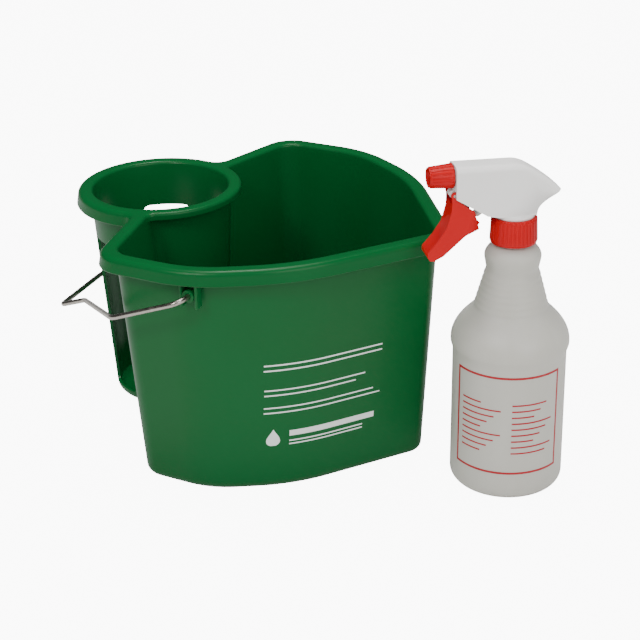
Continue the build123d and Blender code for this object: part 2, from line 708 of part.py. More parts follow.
def swirl_core():
    core = forward(CORE_RADIUS, CORE_BACK + 0.1, BOSS_FRONT + 0.6)
    for angle in (0, 120, 240):
        groove = Box(BOSS_FRONT, 0.9, 1.2)
        core -= Pos(BOSS_FRONT / 2 + CORE_BACK, 0, SPRAY_Z) * Rot(angle, 0, 0) * Pos(0, 0, CORE_RADIUS) * groove
    return on_head(core)


def trigger_outline():
    """Side view of the trigger, (forward, height) from its pivot."""
    front = [(2.4, 1.8), (2.2, -6.0), (2.4, -11.5), (5.8, -24.4), (12.4, -34.2), (20.2, -43.0)]
    tip = [(20.4, -46.4), (18.6, -49.4), (15.2, -50.0)]
    rear = [(8.1, -46.6), (-8.6, -32.0), (-18.9, -27.4), (-15.1, -13.5), (-8.9, -9.0), (-2.6, -3.6), (-2.8, 1.4)]
    return [(PIVOT_S + x, PIVOT_H + z) for x, z in [*front, *tip, *rear]]


def trigger():
    points = trigger_outline()
    body = side_plate(points, TRIGGER_HALF)
    body += Pos(PIVOT_S, 0, PIVOT_H) * Cylinder(LUG_RADIUS - 0.1, 2 * TRIGGER_HALF, rotation=(90, 0, 0))
    inside = TRIGGER_HALF - TRIGGER_WALL
    body -= side_plate([(x - TRIGGER_FRONT, z + 1.6) for x, z in points], inside)
    body -= Pos(PIVOT_S, 0, PIVOT_H) * Box(16, 2 * inside, 12)
    pad = Box(7.0, 2 * inside + 0.4, PUSHER)
    body += on_pump(Pos(-1.2, 0, 0) * pad, -PUSHER / 2 - 0.3)
    body -= Pos(PIVOT_S, 0, PIVOT_H) * Cylinder(PIN_RADIUS + FIT_GAP, 3 * TRIGGER_HALF, rotation=(90, 0, 0))
    return on_head(body)


def trigger_pin():
    pin = Cylinder(PIN_RADIUS, 2 * TRIGGER_HALF - 0.4, rotation=(90, 0, 0))
    return on_head(Pos(PIVOT_S, 0, PIVOT_H) * pin)


def piston():
    body = pump_rod(ROD_RADIUS, ROD_RADIUS, PISTON_NECK + 1)
    body += on_pump(Sphere(ROD_RADIUS), ROD_RADIUS)
    body += pump_rod(PUMP_BORE - 4 * FIT_GAP, PISTON_NECK, PISTON_NECK + PISTON_HEAD)
    mid = PISTON_NECK + PISTON_HEAD / 2
    body -= pump_rod(PUMP_BORE, mid - RING_WIDTH / 2, mid + RING_WIDTH / 2) - pump_rod(
        PUMP_BORE - RING_DEPTH, mid - RING_WIDTH, mid + RING_WIDTH)
    return on_head(body)


def piston_ring():
    mid = PISTON_NECK + PISTON_HEAD / 2
    low, high = mid - RING_WIDTH / 2 + 0.02, mid + RING_WIDTH / 2 - 0.02
    return on_head(pump_rod(PUMP_BORE - FIT_GAP, low, high) - pump_rod(PUMP_BORE - RING_DEPTH + 0.02, low - 1, high + 1))


def return_spring():
    start = PISTON_NECK + PISTON_HEAD + SPRING_WIRE + 0.05
    end = PUMP_END - SPRING_WIRE - 0.05
    coil = Helix((end - start) / SPRING_TURNS, end - start, SPRING_RADIUS)
    wire = sweep(Plane(origin=coil @ 0, z_dir=coil % 0) * Circle(SPRING_WIRE), path=coil, is_frenet=True)
    return on_head(on_pump(wire, start))


PIECES = {
    "pail_shell": pail_shell,
    "bail_wire": bail_wire,
    "spray_bottle": spray_bottle,
    "neck_gasket": neck_gasket,
    "screw_collar": screw_collar,
    "pump_body": pump_body,
    "tube_holder": tube_holder,
    "dip_tube": dip_tube,
    "inlet_ball": lambda: seated_ball(BALL_RADIUS, HOLDER_BORE, seat_z()),
    "outlet_ball": lambda: seated_ball(OUT_BALL_RADIUS, PASSAGE, OUT_SEAT_Z),
    "sprayer_shroud": sprayer_shroud,
    "nozzle_cap": nozzle_cap,
    "nozzle_seal": nozzle_seal,
    "swirl_core": swirl_core,
    "trigger": trigger,
    "trigger_pin": trigger_pin,
    "piston": piston,
    "piston_ring": piston_ring,
    "return_spring": return_spring,
}

for name, make in PIECES.items():
    export_step(make(), f"parts/{name}.step")
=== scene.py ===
from math import atan, cos, hypot, pi, radians, sin, tan

import bmesh
import bpy
import numpy as np
from mathutils import Matrix, Vector
from mathutils.geometry import tessellate_polygon


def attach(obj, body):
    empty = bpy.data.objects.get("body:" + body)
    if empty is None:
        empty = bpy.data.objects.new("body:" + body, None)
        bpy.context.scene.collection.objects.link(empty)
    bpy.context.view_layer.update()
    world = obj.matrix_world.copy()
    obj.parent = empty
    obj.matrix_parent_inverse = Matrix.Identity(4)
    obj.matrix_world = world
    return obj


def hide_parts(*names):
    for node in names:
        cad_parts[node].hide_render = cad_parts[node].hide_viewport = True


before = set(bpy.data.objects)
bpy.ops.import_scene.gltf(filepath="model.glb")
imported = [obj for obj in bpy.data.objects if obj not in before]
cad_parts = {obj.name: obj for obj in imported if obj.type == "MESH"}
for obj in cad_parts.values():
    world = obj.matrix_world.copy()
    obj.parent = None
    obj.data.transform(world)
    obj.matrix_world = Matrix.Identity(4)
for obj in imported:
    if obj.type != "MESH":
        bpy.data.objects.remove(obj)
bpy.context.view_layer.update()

# A divided cleaning pail with a round bottle cup and a wire bail, and its trigger spray
# bottle.  The working unit is the millimetre; meshes are written in metres.
MM = 0.001


# ---------------------------------------------------------------- materials
def hex_colour(code):
    """sRGB hex to linear RGBA: c/12.92 below 0.04045, else ((c + 0.055)/1.055)^2.4."""
    c = np.array([int(code[i:i + 2], 16) for i in (0, 2, 4)]) / 255
    c = np.where(c <= 0.04045, c / 12.92, ((c + 0.055) / 1.055) ** 2.4)
    return (*c.tolist(), 1.0)


def add(tree, kind, inputs=None, **settings):
    """Adds a node; inputs holds a value or another node's output for each socket."""
    n = tree.nodes.new(kind)
    for key, value in settings.items():
        setattr(n, key, value)
    for key, value in (inputs or {}).items():
        if isinstance(value, bpy.types.NodeSocket):
            tree.links.new(value, n.inputs[key])
        else:
            n.inputs[key].default_value = value
    return n


def finish_material(name, shader_inputs, build):
    """Material whose Principled shader has shader_inputs; build(tree, place) links the rest."""
    m = bpy.data.materials.new(name)
    m.use_nodes = True
    tree = m.node_tree
    tree.nodes.clear()
    place = add(tree, "ShaderNodeTexCoord").outputs["Object"]
    shader = add(tree, "ShaderNodeBsdfPrincipled", shader_inputs)
    for socket, value in build(tree, place).items():
        tree.links.new(value, shader.inputs[socket])
    add(tree, "ShaderNodeOutputMaterial", {"Surface": shader.outputs["BSDF"]})
    return m


def moulded(tree, place, colours, patch_mm, grain_mm, grain_depth_mm, rough):
    """Moulded plastic: colour drifts between two shades, fine grain, uneven gloss.

    patch_mm is the size of the cloudy flow marks, grain_mm of the mould's texture.
    """
    flow = add(tree, "ShaderNodeTexNoise", {"Vector": place, "Scale": 1000 / patch_mm, "Detail": 3.0,
                                            "Roughness": 0.55}).outputs["Fac"]
    first, second = map(hex_colour, colours)
    shade = add(tree, "ShaderNodeMix", {"Factor": flow, "A": first, "B": second}, data_type="RGBA")
    grain = add(tree, "ShaderNodeTexNoise",
                {"Vector": place, "Scale": 1000 / grain_mm, "Detail": 2.0}).outputs["Fac"]
    dull = add(tree, "ShaderNodeMapRange", {"Value": flow, "From Min": 0.3, "From Max": 0.7,
                                            "To Min": rough[0], "To Max": rough[1]}).outputs["Result"]
    bump = add(tree, "ShaderNodeBump", {"Height": grain, "Strength": 0.6, "Distance": grain_depth_mm * MM})
    return {"Base Color": shade.outputs[2], "Roughness": dull, "Normal": bump.outputs["Normal"]}


# Injection-moulded polypropylene with a fine satin mould finish: deep green, a sharp but
# slightly broken highlight on every rounded edge.
pail_plastic = finish_material(
    "satin green polypropylene", {"IOR": 1.49, "Specular IOR Level": 0.22},
    lambda t, p: moulded(t, p, ("005020", "005828"), 90, 1.6, 0.02, (0.3, 0.38)))

# Red polypropylene of the trigger, collar and nozzle: saturated, semi-gloss.
red_plastic = finish_material(
    "semi-gloss red polypropylene", {"IOR": 1.49, "Specular IOR Level": 0.22},
    lambda t, p: moulded(t, p, ("B80006", "C2000A"), 25, 0.8, 0.012, (0.28, 0.38)))

# White polypropylene of the spray head's cover: slightly warm, satin.
white_plastic = finish_material(
    "satin white polypropylene", {"IOR": 1.49},
    lambda t, p: moulded(t, p, ("F2F0EC", "F7F5F2"), 30, 0.9, 0.012, (0.34, 0.44)))

# Natural polyethylene of the tube, holder, piston and swirl core: waxy and milky.
natural_plastic = finish_material(
    "natural polyethylene", {"IOR": 1.51, "Subsurface Weight": 0.3, "Subsurface Scale": 0.002},
    lambda t, p: moulded(t, p, ("DCDBD2", "E8E7E0"), 12, 0.7, 0.01, (0.35, 0.5)))

# Blow-moulded polyethylene, not coloured: thin, waxy, lets a soft grey light through and
# shows faint vertical flow streaks.
def blown(tree, place):
    """Blown wall: noise drawn out six times along Z gives the streaks, plus a soft grain."""
    drawn = add(tree, "ShaderNodeMapping", {"Vector": place, "Scale": (1.0, 1.0, 0.16)}).outputs["Vector"]
    return moulded(tree, drawn, ("C2BFB4", "CFCCC2"), 22, 1.4, 0.02, (0.36, 0.46))


bottle_plastic = finish_material(
    "natural blow-moulded polyethylene",
    {"IOR": 1.51, "Transmission Weight": 0.12, "Subsurface Weight": 0.35, "Subsurface Scale": 0.006,
     "Subsurface Radius": (1.0, 0.95, 0.85)},
    blown)


# Zinc-plated drawn steel wire: bright grey, long fine die lines and small dull patches.
def plated(tree, place):
    """Plating: a small-scale noise varies the grey and the gloss; a finer one dents it."""
    spot = add(tree, "ShaderNodeTexNoise", {"Vector": place, "Scale": 1000 / 6, "Detail": 4.0}).outputs["Fac"]
    shade = add(tree, "ShaderNodeMix", {"Factor": spot, "A": hex_colour("9C958C"), "B": hex_colour("C9C3BA")},
                data_type="RGBA")
    line = add(tree, "ShaderNodeTexNoise",
               {"Vector": place, "Scale": 1000 / 1.2, "Detail": 2.0}).outputs["Fac"]
    dull = add(tree, "ShaderNodeMapRange", {"Value": spot, "From Min": 0.3, "From Max": 0.7, "To Min": 0.22,
                                            "To Max": 0.36}).outputs["Result"]
    bump = add(tree, "ShaderNodeBump", {"Height": line, "Strength": 0.5, "Distance": 0.02 * MM})
    return {"Base Color": shade.outputs[2], "Roughness": dull, "Normal": bump.outputs["Normal"]}


zinc_wire = finish_material("zinc-plated drawn steel", {"Metallic": 1.0}, plated)
stainless = finish_material("stainless steel", {"Metallic": 1.0}, plated)

# Grey elastomer of the gasket, ring and seal: matt, with a powdery grain.
seal_rubber = finish_material(
    "matt grey elastomer", {"IOR": 1.5, "Specular IOR Level": 0.3},
    lambda t, p: moulded(t, p, ("B2B0A8", "C2C0B8"), 8, 0.6, 0.02, (0.6, 0.75)))

# Printed inks: screen-printed white on the pail and red on the bottle, flat and a little
# uneven in their cover.
white_ink = finish_material(
    "screen-printed white ink", {"IOR": 1.48},
    lambda t, p: moulded(t, p, ("D5DAD6", "E9ECE9"), 7, 0.5, 0.008, (0.4, 0.5)))
red_ink = finish_material(
    "screen-printed red ink", {"IOR": 1.48},
    lambda t, p: moulded(t, p, ("A00C16", "AC1620"), 7, 0.5, 0.008, (0.4, 0.5)))


# ---------------------------------------------------------------- mesh building
def band(rows):
    """Quads between successive closed rows of points; rows is (levels, points, 3)."""
    levels, count = rows.shape[:2]
    i = np.arange(levels - 1)[:, None] * count
    j = np.arange(count)[None, :]
    k = (j + 1) % count
    quads = np.stack([i + j, i + k, i + count + k, i + count + j], -1).reshape(-1, 4)
    return rows.reshape(-1, 3), quads


def plate(*loops):
    """Flat plate inside the first loop and outside the others, cut into triangles."""
    points = np.concatenate(loops)
    flat = [[Vector((x, y, 0)) for x, y, _ in loop] for loop in loops]
    return points, np.array([t for t in tessellate_polygon(flat) if len(set(t)) == 3])


def solid(name, parts, weld=0.001, sharp=35.0):
    """Joins (points, faces) parts in mm, welds what touches, turns faces outward."""
    mesh = bpy.data.meshes.new(name)
    points = np.concatenate([p for p, _ in parts]) * MM
    start = np.cumsum([0] + [len(p) for p, _ in parts])
    faces = [face for (p, f), s in zip(parts, start) for face in (f + s).tolist()]
    mesh.from_pydata(points.tolist(), [], faces)
    piece = bpy.data.objects.new(name, mesh)
    bpy.context.scene.collection.objects.link(piece)
    settle(mesh, weld, sharp)
    return piece


def settle(mesh, weld, sharp):
    """Welds doubles, drops collapsed faces, turns faces outward, shades smooth."""
    bm = bmesh.new()
    bm.from_mesh(mesh)
    bmesh.ops.remove_doubles(bm, verts=bm.verts, dist=weld * MM)
    bmesh.ops.dissolve_degenerate(bm, dist=weld * MM * 0.5, edges=bm.edges)
    bmesh.ops.recalc_face_normals(bm, faces=bm.faces)
    bm.to_mesh(mesh)
    bm.free()
    mesh.shade_smooth()
    mesh.set_sharp_from_angle(angle=radians(sharp))


def cut(piece, cutter, sharp=35.0):
    """Takes one closed solid out of another and removes it."""
    change = piece.modifiers.new("cut", "BOOLEAN")
    change.operation = "DIFFERENCE"
    change.solver = "EXACT"
    change.object = cutter
    made = bpy.data.meshes.new_from_object(piece.evaluated_get(bpy.context.evaluated_depsgraph_get()))
    piece.modifiers.clear()
    piece.data = made
    bpy.data.objects.remove(cutter)
    made.shade_smooth()
    made.set_sharp_from_angle(angle=radians(sharp))


def dress(piece, body, slot, material, *nodes):
    """Rides a piece on its body, gives its finish and hides what it replaces."""
    piece.data.materials.clear()
    piece.data.materials.append(material)
    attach(piece, body)
    if nodes:
        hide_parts(*nodes)
    return piece


def smoothed(node, body, slot, material, sharp=30.0):
    """Copy of a moulded CAD piece, welded and shaded smooth across its fine facets."""
    piece = bpy.data.objects.new(node + "_skin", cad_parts[node].data.copy())
    bpy.context.scene.collection.objects.link(piece)
    bm = bmesh.new()
    bm.from_mesh(piece.data)
    bmesh.ops.remove_doubles(bm, verts=bm.verts, dist=0.002 * MM)
    bm.to_mesh(piece.data)
    bm.free()
    piece.data.shade_smooth()
    piece.data.set_sharp_from_angle(angle=radians(sharp))
    return dress(piece, body, slot, material, node)


# ---------------------------------------------------------------- pail, plan
PAIL_HEIGHT = 199.5
NOSE_REACH, HALF_WIDTH = 164.0, 152.5
CUP_X, CUP_RIM_RADIUS = -100.0, 70.4
SHOULDER_X, CORNER_X = 20.0, -65.0
NOSE_ANGLE, CHEEK_ANGLE, FLANK_ANGLE = 54.1, 31.0, 13.2
NOSE_RADIUS, CHEEK_RADIUS, SHOULDER_RADIUS, CORNER_RADIUS = 21.0, 170.0, 100.0, 26.0
WAIST_RADIUS, POCKET_RADIUS = 9.0, 8.0
FLANK_RUN, CORNER_SHRINK = 60.0, 0.45
WALL, BAND_WIDTH, DRAFT = 2.5, 11.3, 3.2
SKIRT_HEIGHT, SKIRT_LEAN, RIM_ROUND, RIM_PLATE = 12.0, 1.2, 4.6, 2.6
BASE_ROUND, BASE_THICKNESS = 9.0, 3.0
PARTITION_BAND, PARTITION_DROP, LIP_ROUND = 8.6, 6.0, 3.0
CUP_FLOOR_Z, CUP_FLOOR, CUP_FLOOR_ROUND = 15.0, 2.6, 6.0
WINDOW_START, WINDOW_END, WINDOW_LOW, WINDOW_TOP, WINDOW_ROUND = 97.0, 142.0, 23.0, 160.5, 6.0


def unit(v):
    return v / np.linalg.norm(v, axis=-1, keepdims=True)


def arc(centre, start, end, count):
    """Points turned about a centre from start to end, the short way; one row per level."""
    a, b = start - centre, end - centre
    sweep = np.arctan2(a[:, 0] * b[:, 1] - a[:, 1] * b[:, 0], (a * b).sum(-1))
    t = sweep[:, None] * np.linspace(0, 1, count)
    x = a[:, :1] * np.cos(t) - a[:, 1:] * np.sin(t)
    y = a[:, :1] * np.sin(t) + a[:, 1:] * np.cos(t)
    return centre[:, None, :] + np.stack([x, y], -1)


def rounded(before, point, after, radius, count):
    """Arc that rounds a corner, touching both edges, held within their middles."""
    u, v = before - point, after - point
    lu, lv = np.linalg.norm(u, axis=-1), np.linalg.norm(v, axis=-1)
    u, v = unit(u), unit(v)
    half = 0.5 * (pi - np.arccos(np.clip((u * v).sum(-1), -1, 1)))
    t = np.minimum(np.minimum(radius * np.tan(half), 0.49 * lu), 0.49 * lv)
    centre = point + unit(u + v) * (t / np.tan(half) / np.cos(half))[:, None]
    return arc(centre, point + u * t[:, None], point + v * t[:, None], count)


def crossing(n1, h1, n2, h2):
    """Where the lines n.p = h meet, for arrays of distances h."""
    d = n1[0] * n2[1] - n1[1] * n2[0]
    return np.stack([(h1 * n2[1] - h2 * n1[1]) / d, (n1[0] * h2 - n2[0] * h1) / d], -1)


def side(inset):
    """The upper half's arcs from the spout's tip to the rear corner, at each inset.

    Four straight edges, each moved in by the inset, are joined by arcs; a tight
    corner's radius drops with the inset, a wide one's by the whole inset.
    """
    nose, cheek, flank = radians(NOSE_ANGLE), radians(CHEEK_ANGLE), radians(FLANK_ANGLE)
    n = [(sin(nose), cos(nose)), (sin(cheek), cos(cheek)), (0.0, 1.0), (-cos(flank), sin(flank))]
    tip_x = NOSE_REACH + NOSE_RADIUS * (1 / sin(nose) - 1)
    on = [(tip_x, 0.0), (SHOULDER_X, HALF_WIDTH), (0.0, HALF_WIDTH), (CORNER_X, HALF_WIDTH)]
    h = [a[0] * p[0] + a[1] * p[1] - inset for a, p in zip(n, on)]
    tip = np.stack([h[0] / n[0][0], 0 * inset], -1)
    turn = [crossing(n[i], h[i], n[i + 1], h[i + 1]) for i in range(3)]
    foot = turn[2] - FLANK_RUN * np.array([sin(flank), cos(flank)])
    tight = [np.maximum(r - CORNER_SHRINK * inset, 2.0) for r in (NOSE_RADIUS, CORNER_RADIUS)]
    front = rounded(turn[0] * (1, -1), tip, turn[0], tight[0], 25)[:, 12:]
    return [front,
            rounded(tip, turn[0], turn[1], CHEEK_RADIUS - inset, 17),
            rounded(turn[0], turn[1], turn[2], SHOULDER_RADIUS - inset, 21),
            rounded(turn[1], turn[2], foot, tight[1], 17)], n[3], h[3]


def flank_blend(n, h, ring, radius, way, count=17):
    """Arc between the flank line and the circle round the cup's axis (way 1: outside)."""
    depth = h + way * radius - n[0] * CUP_X
    far = ring + radius
    along = np.sqrt(far * far - depth * depth)
    centre = np.stack([CUP_X + n[0] * depth + n[1] * along, n[1] * depth - n[0] * along], -1)
    on_line = centre - way * np.outer(radius, n)
    axis = np.array([CUP_X, 0.0])
    on_ring = axis + (centre - axis) * (ring / far)[:, None]
    return arc(centre, on_line, on_ring, count)


def ruled(pieces):
    """Joins arcs with straight runs that hold a few points each."""
    out = [pieces[0]]
    k = np.linspace(0, 1, 7)[1:-1][None, :, None]
    for arc_points in pieces[1:]:
        a, b = out[-1][:, -1:, :], arc_points[:, :1, :]
        if np.abs(a - b).max() > 0.01:
            out.append(a + (b - a) * k)
            out.append(arc_points)
        else:
            out.append(arc_points[:, 1:])
    return np.concatenate(out, 1)


def outline(inset, z, ring, blend_radius, way, count=60):
    """Closed plan outline at each level: spout, side, flank, blend and the cup's circle.

    way 1 takes the cup in (the whole pail), way -1 leaves it out (the basin).
    """
    inset, z, ring = (np.broadcast_to(np.asarray(v, float), np.shape(z)) for v in (inset, z, ring))
    arcs, n, h = side(inset)
    blend = flank_blend(n, h, ring, blend_radius + 0 * inset, way)
    a = blend[:, -1] - (CUP_X, 0)
    start = np.arctan2(a[:, 1], a[:, 0])
    end = pi if way > 0 else 0.0
    t = start[:, None] + (end - start)[:, None] * np.linspace(0, 1, count)
    wrap = np.stack([CUP_X + ring[:, None] * np.cos(t), ring[:, None] * np.sin(t)], -1)
    half = ruled([*arcs, blend, wrap])
    loop = np.concatenate([half, half[:, -2:0:-1] * (1, -1)], 1)
    height = np.broadcast_to(z[:, None, None], (*loop.shape[:2], 1))
    return np.concatenate([loop, height], -1)


def whole_outline(inset, z):
    inset = np.asarray(inset, float)
    return outline(inset, np.asarray(z, float), CUP_RIM_RADIUS - inset, WAIST_RADIUS + inset, 1)


def basin_outline(inset, ring, z):
    return outline(inset, np.asarray(z, float), ring, POCKET_RADIUS, -1)


def wall_inset(z):
    """How far the walls' outer face is inside the rim's edge."""
    return BAND_WIDTH + (PAIL_HEIGHT - z) * tan(radians(DRAFT))


def cup_radius(z):
    return CUP_RIM_RADIUS - wall_inset(z)


def circle(radius, z, x=CUP_X, count=160):
    """Circles round an upright axis, one row per (radius, height) pair."""
    t = np.linspace(0, 2 * pi, count, endpoint=False)
    r, z = np.broadcast_arrays(np.asarray(radius, float), np.asarray(z, float))
    return np.stack([x + r[:, None] * np.cos(t), r[:, None] * np.sin(t), z[:, None] + 0 * t], -1)


# ---------------------------------------------------------------- pail, solid
def pail():
    """One closed skin: outside, turned-down rim, flat rim top, basin and cup.

    The outside's profile climbs the rounded foot and the drafted wall, runs out
    under the rim, down and round the skirt and up to the rim's rounded top.
    """
    a = np.linspace(0, pi / 2, 9)
    foot_z, foot_in = BASE_ROUND * (1 - np.cos(a)), BASE_ROUND * (1 - np.sin(a))
    under = PAIL_HEIGHT - RIM_PLATE
    wall_z = np.linspace(BASE_ROUND, under, 12)[1:]
    low = PAIL_HEIGHT - SKIRT_HEIGHT
    lip = np.array([[WALL, low + 0.8], [WALL - 0.6, low + 0.15], [WALL / 2, low],
                    [0.5, low + 0.15], [0.0, low + 0.9]])
    top_in = SKIRT_LEAN + RIM_ROUND * (1 - np.cos(a))
    top_z = PAIL_HEIGHT - RIM_ROUND * (1 - np.sin(a))
    profile = np.concatenate([
        np.stack([wall_inset(foot_z) + foot_in, foot_z], -1),
        np.stack([wall_inset(wall_z), wall_z], -1),
        [[WALL + SKIRT_LEAN, under]], lip, np.stack([top_in, top_z], -1)])
    outside = whole_outline(profile[:, 0], profile[:, 1])

    b = np.linspace(pi / 2, 0, 7)
    lip_in = LIP_ROUND * np.cos(b)
    lip_z = PAIL_HEIGHT - LIP_ROUND * (1 - np.sin(b))
    drop = PAIL_HEIGHT - PARTITION_DROP
    edge = CUP_RIM_RADIUS - BAND_WIDTH + PARTITION_BAND
    basin_z = np.concatenate([lip_z, [drop, drop], np.linspace(drop, BASE_ROUND + BASE_THICKNESS, 12)[1:],
                              (foot_z + BASE_THICKNESS)[-2::-1]])
    basin_in = wall_inset(basin_z) + WALL
    basin_in[:7] += lip_in - LIP_ROUND
    basin_in[-8:] = wall_inset(basin_z[-8:] - BASE_THICKNESS) + WALL + foot_in[-2::-1]
    ring = cup_radius(basin_z)
    ring[:8] = edge
    ring[:7] += lip_in - LIP_ROUND
    ring[-8:] = cup_radius(basin_z[-8:] - BASE_THICKNESS) + foot_in[-2::-1]
    basin = basin_outline(basin_in, ring, basin_z)

    floor = CUP_FLOOR_Z + CUP_FLOOR
    wall_z = np.linspace(PAIL_HEIGHT - LIP_ROUND, floor + 3, 14)[1:]
    cup_z = np.concatenate([lip_z, wall_z, [floor + 0.9, floor, floor]])
    cup_r = cup_radius(cup_z) - WALL
    cup_r[:7] -= lip_in - LIP_ROUND
    cup_r[-2:] = cup_r[-3] - 2.1, 0.0
    cup_r[-3] -= 0.6
    cup = circle(cup_r, cup_z)
    piece = solid("pail", [
        band(outside), band(basin), band(cup), plate(outside[0]), plate(basin[-1]),
        plate(outside[-1], basin[0], cup[0])])
    for cutter in (under_cup_core(), under_cup_edge(), window(WINDOW_START), window(360 - WINDOW_END)):
        cut(piece, cutter)
    return piece


def under_cup_core():
    """Slightly conical plug that hollows the cup's foot up to its raised floor."""
    z = np.array([-1.0, -1.0, CUP_FLOOR_Z, CUP_FLOOR_Z])
    r = cup_radius(z) - WALL
    r[[0, 3]] = 0.0
    return solid("core", [band(circle(r, z, count=96))])


def under_cup_edge():
    """Wedge round the cup's back that trims its foot to the floor with a rounded edge."""
    t = np.linspace(0, pi / 2, 7)
    r = cup_radius(CUP_FLOOR_Z)
    curve = np.stack([r - CUP_FLOOR_ROUND * (1 - np.cos(t)) + 0.2,
                      CUP_FLOOR_Z + CUP_FLOOR_ROUND * (1 - np.sin(t))], -1)
    far = [[90.0, -1.0], [90.0, CUP_FLOOR_Z + CUP_FLOOR_ROUND]]
    core = cup_radius(0.0) - 2 * WALL
    rim = np.concatenate([[[core, -1.0]], far, curve, [[core, CUP_FLOOR_Z]]])
    angle = np.radians(np.linspace(WINDOW_START, 360 - WINDOW_START, 80))
    rows = np.stack([CUP_X + np.outer(np.cos(angle), rim[:, 0]), np.outer(np.sin(angle), rim[:, 0]),
                     np.tile(rim[:, 1], (80, 1))], -1)
    return solid("edge", [band(rows), fan(rows[0]), fan(rows[-1])])


def fan(loop):
    """Triangles from a loop's middle to its edge."""
    n = np.arange(len(loop))
    points = np.concatenate([loop, loop.mean(0, keepdims=True)])
    return points, np.stack([n, (n + 1) % len(loop), np.full(len(loop), len(loop))], -1)


def window(start):
    """Rounded rectangle wrapped on the cup's circle and drawn out along its radius."""
    r = cup_radius(WINDOW_TOP)
    width = radians(WINDOW_END - WINDOW_START) * r / 2
    tall = (WINDOW_TOP - WINDOW_LOW) / 2
    quarter = np.linspace(0, pi / 2, 7)
    t = np.concatenate([quarter + k * pi / 2 for k in range(4)])
    sx = np.repeat([1, -1, -1, 1], 7)
    sz = np.repeat([1, 1, -1, -1], 7)
    u = sx * (width - WINDOW_ROUND) + WINDOW_ROUND * np.cos(t)
    z = WINDOW_LOW + tall + sz * (tall - WINDOW_ROUND) + WINDOW_ROUND * np.sin(t)
    angle = radians(start + (WINDOW_END - WINDOW_START) / 2) + u / r
    radii = np.array([r - 30, r + 25])[:, None]
    rows = np.stack([CUP_X + radii * np.cos(angle), radii * np.sin(angle), np.tile(z, (2, 1))], -1)
    return solid("window", [band(rows), fan(rows[0]), fan(rows[1])])


dress(pail(), "pail", "pail_green", pail_plastic, "pail_shell")


# ---------------------------------------------------------------- pail, print
def wall_points(distance, z, proud):
    """Points on the front wall, a distance along its plan from the spout's tip, at a height.

    The plan's lower half is measured along its length and read between its points.
    """
    loops = whole_outline(wall_inset(z) - proud, z)
    out = np.empty((*distance.shape, 3))
    for i, loop in enumerate(loops):
        half = np.concatenate([loop[:1], loop[:len(loop) // 2:-1]])
        length = np.concatenate([[0.0], np.cumsum(np.linalg.norm(np.diff(half[:, :2], axis=0), axis=1))])
        for axis in (0, 1):
            out[i, :, axis] = np.interp(distance[i], length, half[:, axis])
        out[i, :, 2] = z[i]
    return out


def wall_patch(distance, z, ink=0.05):
    """Closed patch of ink between the wall's skin and a hair above it; rows run up the wall."""
    front = wall_points(distance, z, ink)
    back = wall_points(distance, z, -ink)
    count, width = distance.shape
    face = np.arange(count * width).reshape(count, width)
    quads = np.stack([face[:-1, :-1], face[:-1, 1:], face[1:, 1:], face[1:, :-1]], -1).reshape(-1, 4)
    edge = np.concatenate([face[0], face[1:, -1], face[-1, -2::-1], face[-2:0:-1, 0]])
    rim = np.stack([edge, np.roll(edge, -1), np.roll(edge, -1) + count * width, edge + count * width], -1)
    points = np.concatenate([front.reshape(-1, 3), back.reshape(-1, 3)])
    return points, np.concatenate([quads, quads[:, ::-1] + count * width, rim])


# Bars as (start, end) along the wall from the spout's tip and (low, high) up it.
PAIL_BARS = [(44, 143, 108.0, 109.3), (44, 143, 112.6, 113.9),
             (58, 142, 90.5, 91.7), (66, 142, 86.0, 87.2), (50, 142, 74.8, 76.0), (44, 142, 70.3, 71.5),
             (48, 121, 48.5, 53.5), (58, 121, 43.6, 44.8), (58, 121, 40.6, 41.8)]
DROP_ALONG, DROP_LOW, DROP_TALL, DROP_WIDE = 134, 40.6, 15.5, 8.1


def pail_print():
    """Plain bars, and a drop whose half width is sqrt(sin(pi t)) (1 - t)^0.8 up its height t."""
    def bar(start, end, low, high):
        z = np.linspace(low, high, 3)
        return wall_patch(np.tile(np.linspace(start, end, 40), (3, 1)), z)
    parts = [bar(*row) for row in PAIL_BARS]
    t = np.linspace(0.02, 0.98, 33)
    half = DROP_WIDE * np.sqrt(np.sin(pi * t)) * (1 - t) ** 0.8
    z = DROP_LOW + DROP_TALL * t
    parts.append(wall_patch(DROP_ALONG + half[:, None] * np.linspace(-1, 1, 7)[None, :], z))
    return solid("pail_print", parts, weld=0.0002)


dress(pail_print(), "pail", "pail_green", white_ink)


# ---------------------------------------------------------------- pail, ears
PIVOT_X, PIVOT_Z = 16.0, 178.5
WALL_Y = HALF_WIDTH - wall_inset(PIVOT_Z)
EAR_STAND, WIRE_RADIUS = 6.5, 2.05


def block(low, high):
    """Eight corners of a box as one closed part."""
    x, y, z = zip(low, high)
    points = np.array([(x[i], y[j], z[k]) for i in (0, 1) for j in (0, 1) for k in (0, 1)])
    faces = np.array([(0, 1, 3, 2), (4, 6, 7, 5), (0, 4, 5, 1), (2, 3, 7, 6), (0, 2, 6, 4), (1, 5, 7, 3)])
    return points, faces


def bevelled(piece, width, segments=3):
    """Rounds the edges of a small moulded part for good."""
    change = piece.modifiers.new("edge", "BEVEL")
    change.width, change.segments, change.limit_method = width * MM, segments, "ANGLE"
    piece.data = bpy.data.meshes.new_from_object(piece.evaluated_get(bpy.context.evaluated_depsgraph_get()))
    piece.modifiers.clear()
    piece.data.shade_smooth()
    piece.data.set_sharp_from_angle(angle=radians(40))
    return piece


